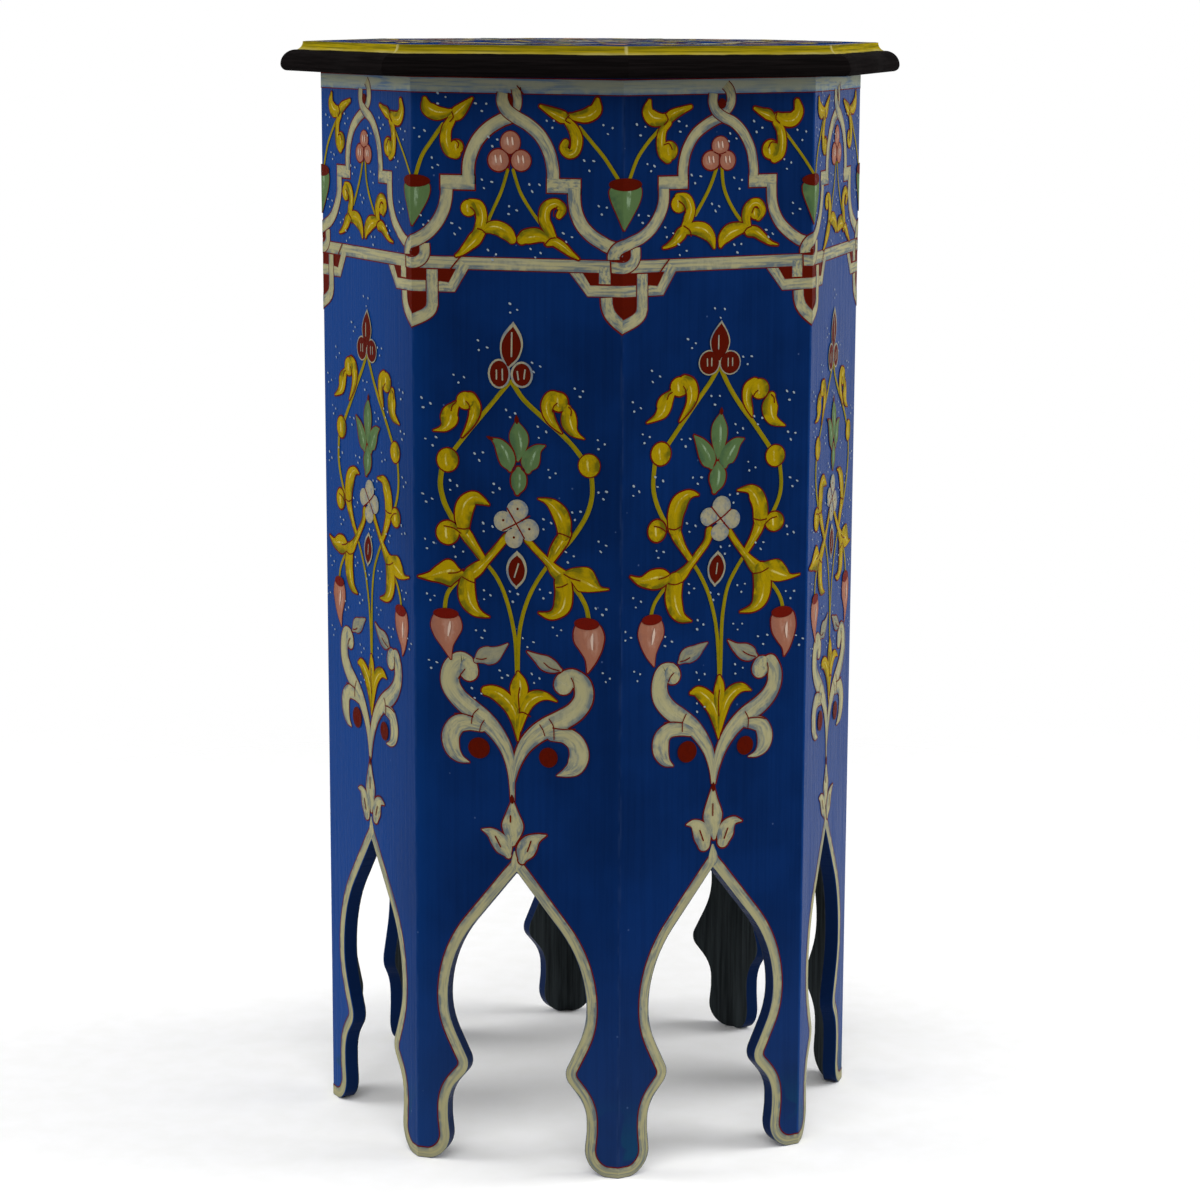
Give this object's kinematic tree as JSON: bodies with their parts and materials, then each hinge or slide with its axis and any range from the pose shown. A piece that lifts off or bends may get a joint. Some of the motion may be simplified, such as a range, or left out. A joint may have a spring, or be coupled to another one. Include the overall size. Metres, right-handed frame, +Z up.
{
  "type": "octagonal side table",
  "caption": "Tall octagonal side table of mitred painted boards, with pointed arches cut between lobed feet and a flat overhanging top with a moulded rim.",
  "frame": {"origin": "on the floor, at the centre of the octagonal body", "axes": "+Z up along the axis of the body; -Y is the outside of side_panel_1; flats of the octagon on X and Y"},
  "size_m": [0.321, 0.321, 0.61],
  "materials": {
    "panel_paint": "glossy hand-brushed blue paint with painted ornament",
    "rim_paint": "glossy black paint with a yellow cove",
    "top_paint": "glossy hand-brushed blue paint with painted ornament",
    "inner_wood": "bare sawn softwood",
    "steel": "plain wire steel"
  },
  "bodies": {
    "root": {"side_panel_1": "panel_paint", "side_panel_2": "panel_paint", "side_panel_3": "panel_paint", "side_panel_4": "panel_paint", "side_panel_5": "panel_paint", "side_panel_6": "panel_paint", "side_panel_7": "panel_paint", "side_panel_8": "panel_paint", "rim_strip_1": "rim_paint", "rim_strip_2": "rim_paint", "rim_strip_3": "rim_paint", "rim_strip_4": "rim_paint", "rim_strip_5": "rim_paint", "rim_strip_6": "rim_paint", "rim_strip_7": "rim_paint", "rim_strip_8": "rim_paint", "top_board": "top_paint", "top_cleat_1": "inner_wood", "top_cleat_2": "inner_wood", "top_cleat_3": "inner_wood", "top_cleat_4": "inner_wood", "top_cleat_5": "inner_wood", "top_cleat_6": "inner_wood", "top_cleat_7": "inner_wood", "top_cleat_8": "inner_wood", "corner_block_1": "inner_wood", "corner_block_2": "inner_wood", "corner_block_3": "inner_wood", "corner_block_4": "inner_wood", "corner_block_5": "inner_wood", "corner_block_6": "inner_wood", "corner_block_7": "inner_wood", "corner_block_8": "inner_wood", "rim_brads": "steel", "cleat_nails": "steel", "top_screws": "steel"}
  },
  "joints": []
}
